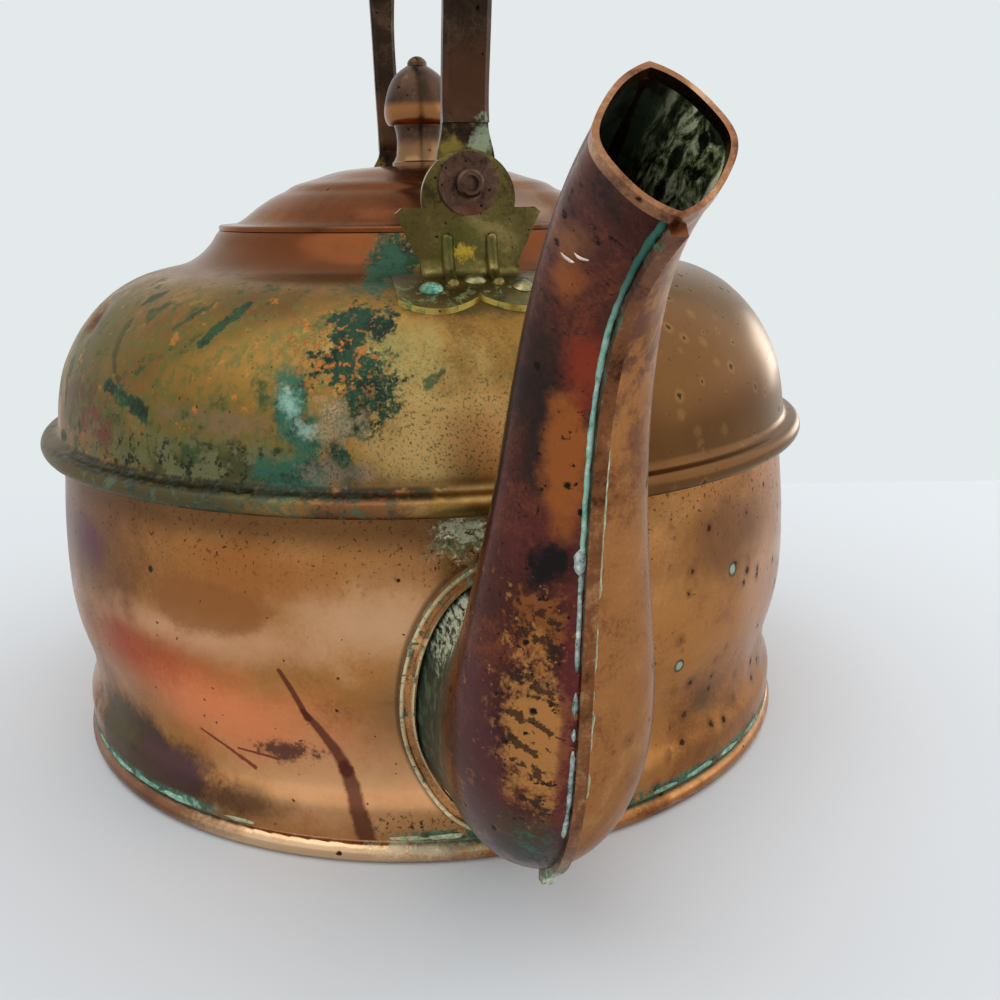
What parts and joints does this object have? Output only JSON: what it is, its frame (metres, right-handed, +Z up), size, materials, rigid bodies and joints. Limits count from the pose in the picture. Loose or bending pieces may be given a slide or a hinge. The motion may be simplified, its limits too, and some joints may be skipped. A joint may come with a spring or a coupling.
{
  "type": "tea kettle",
  "caption": "Squat copper tea kettle with a rolled brim, a domed shoulder, a lift-off lid with a mushroom knob, a swan-neck spout and a riveted swinging bail handle.",
  "frame": {"origin": "centre of the flat ring the kettle stands on", "axes": "+X towards the spout, +Z up, through the knob"},
  "size_m": [0.3389, 0.24, 0.2842],
  "materials": {
    "copper_sheet": "aged copper, worn bright on the belly, dark and spotted elsewhere, verdigris in the seams",
    "lug_brass": "dull olive brass",
    "rivet_metal": "dark brown, slightly polished at the rims",
    "handle_metal": "near-black brown patina",
    "knob_metal": "dark brown patina with an orange-brown lower edge"
  },
  "bodies": {
    "kettle": {"base_pan": "copper_sheet", "body_shell": "copper_sheet", "shoulder_dome": "copper_sheet", "spout_left_half": "copper_sheet", "spout_right_half": "copper_sheet", "spout_front_seam": "copper_sheet", "spout_back_seam": "copper_sheet", "spout_rim": "copper_sheet", "spout_collar": "copper_sheet", "front_lug": "lug_brass", "rear_lug": "lug_brass", "lug_foot_rivets": "rivet_metal", "pivot_rivets": "rivet_metal", "pivot_washers": "rivet_metal"},
    "lid": {"lid_shell": "copper_sheet", "lid_skirt": "copper_sheet", "knob_stem": "knob_metal", "knob_cap": "knob_metal", "knob_finial": "knob_metal", "knob_stud": "knob_metal", "knob_rove": "knob_metal"},
    "handle": {"bail_handle": "handle_metal"}
  },
  "joints": [
    {"name": "handle_swing", "type": "hinge", "parent": "kettle", "child": "handle", "pos_m": [0, 0, 0.1667], "axis": [1, 0, 0], "range_deg": [-88, 88]},
    {"name": "lid_lift", "type": "slide", "parent": "kettle", "child": "lid", "axis": [0, 0, 1], "range_m": [0, 0.04]}
  ]
}
